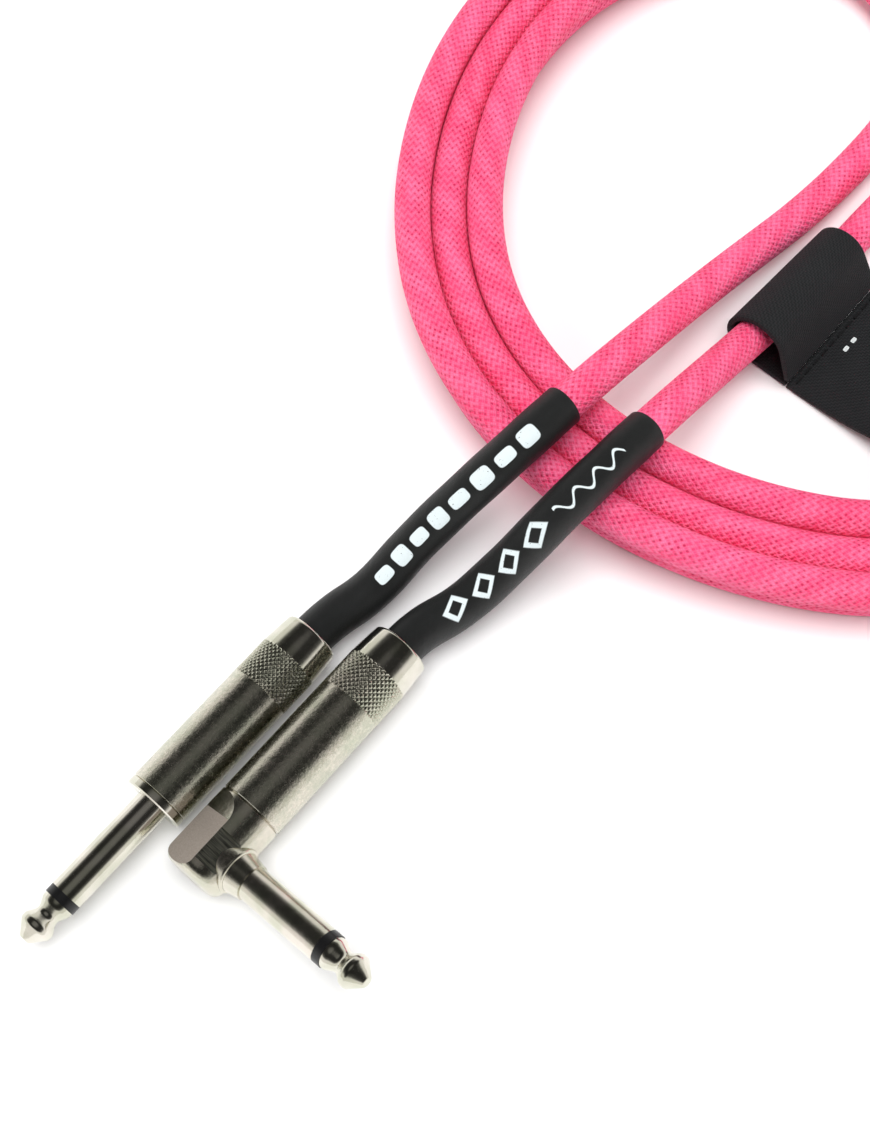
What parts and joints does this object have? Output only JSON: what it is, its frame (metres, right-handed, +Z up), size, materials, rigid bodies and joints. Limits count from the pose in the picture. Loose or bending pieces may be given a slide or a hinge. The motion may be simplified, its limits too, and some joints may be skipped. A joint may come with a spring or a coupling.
{
  "type": "instrument cable",
  "caption": "Coiled instrument lead in a pink woven braid with a straight and a right-angle jack plug, knurled screw-on barrels, black heat-shrink and a fabric tie strap.",
  "frame": {"origin": "on the floor, under the middle of the box round the two plugs", "axes": "+X from the plugs towards the coil, along both barrels; +Z up from the floor"},
  "size_m": [0.2993, 0.213, 0.0242],
  "materials": {
    "satin_nickel": "satin",
    "polished_nickel": "polished",
    "contact_insulator": "satin",
    "fibre_board": "matte",
    "tinned_brass": "satin",
    "liner_plastic": "satin",
    "copper": "satin",
    "solder": "satin",
    "core_plastic": "satin",
    "inner_jacket": "matte",
    "heat_shrink": "matte",
    "pink_braid": "woven",
    "strap_weave": "woven",
    "strap_pile": "napped",
    "black_thread": "twisted"
  },
  "bodies": {
    "lead": {"straight_tip": "polished_nickel", "straight_tip_insulator": "contact_insulator", "straight_sleeve": "polished_nickel", "straight_washer": "fibre_board", "straight_tip_tag": "tinned_brass", "straight_earth_arm": "tinned_brass", "straight_inner_jacket": "inner_jacket", "straight_core": "core_plastic", "straight_conductor": "copper", "straight_shield_tail": "copper", "straight_tip_solder": "solder", "straight_earth_solder": "solder", "straight_heat_shrink": "heat_shrink", "straight_lead": "pink_braid", "angle_tip": "polished_nickel", "angle_tip_insulator": "contact_insulator", "angle_shaft": "polished_nickel", "angle_body": "satin_nickel", "angle_washer": "fibre_board", "angle_tip_tag": "tinned_brass", "angle_earth_arm": "tinned_brass", "angle_inner_jacket": "inner_jacket", "angle_core": "core_plastic", "angle_conductor": "copper", "angle_shield_tail": "copper", "angle_tip_solder": "solder", "angle_earth_solder": "solder", "angle_heat_shrink": "heat_shrink", "angle_lead": "pink_braid", "lead_coil": "pink_braid"},
    "straight_liner": {"straight_liner": "liner_plastic"},
    "straight_barrel": {"straight_barrel": "satin_nickel"},
    "angle_liner": {"angle_liner": "liner_plastic"},
    "angle_barrel": {"angle_barrel": "satin_nickel"},
    "strap_loop": {"strap_loop": "strap_weave"},
    "strap_flap": {"strap_flap": "strap_weave", "strap_pile": "strap_pile", "strap_stitching": "black_thread"}
  },
  "joints": [
    {"name": "straight_barrel_travel", "type": "slide", "parent": "lead", "child": "straight_liner", "axis": [1, 0, 0], "range_m": [0, 0.0045]},
    {"name": "straight_barrel_turn", "type": "hinge", "parent": "straight_liner", "child": "straight_barrel", "pos_m": [0.01183, 0.0222, 0.00595], "axis": [1, 0, 0], "range_deg": [0, 2160]},
    {"name": "angle_barrel_travel", "type": "slide", "parent": "lead", "child": "angle_liner", "axis": [1, 0, 0], "range_m": [0, 0.0045]},
    {"name": "angle_barrel_turn", "type": "hinge", "parent": "angle_liner", "child": "angle_barrel", "pos_m": [0.02073, 0.0083, 0.0063], "axis": [1, 0, 0], "range_deg": [0, 2160]},
    {"name": "strap_travel", "type": "slide", "parent": "lead", "child": "strap_loop", "axis": [1, 0, 0], "range_m": [0, 0.015]},
    {"name": "strap_lift", "type": "hinge", "parent": "strap_loop", "child": "strap_flap", "pos_m": [0.1486, -0.0118, 0.0017], "axis": [-1, 0, 0], "range_deg": [0, 80]}
  ],
  "couplings": [
    {"joint": "straight_barrel_travel", "follows": "straight_barrel_turn", "m_per_rad": 0.00011937},
    {"joint": "angle_barrel_travel", "follows": "angle_barrel_turn", "m_per_rad": 0.00011937}
  ]
}
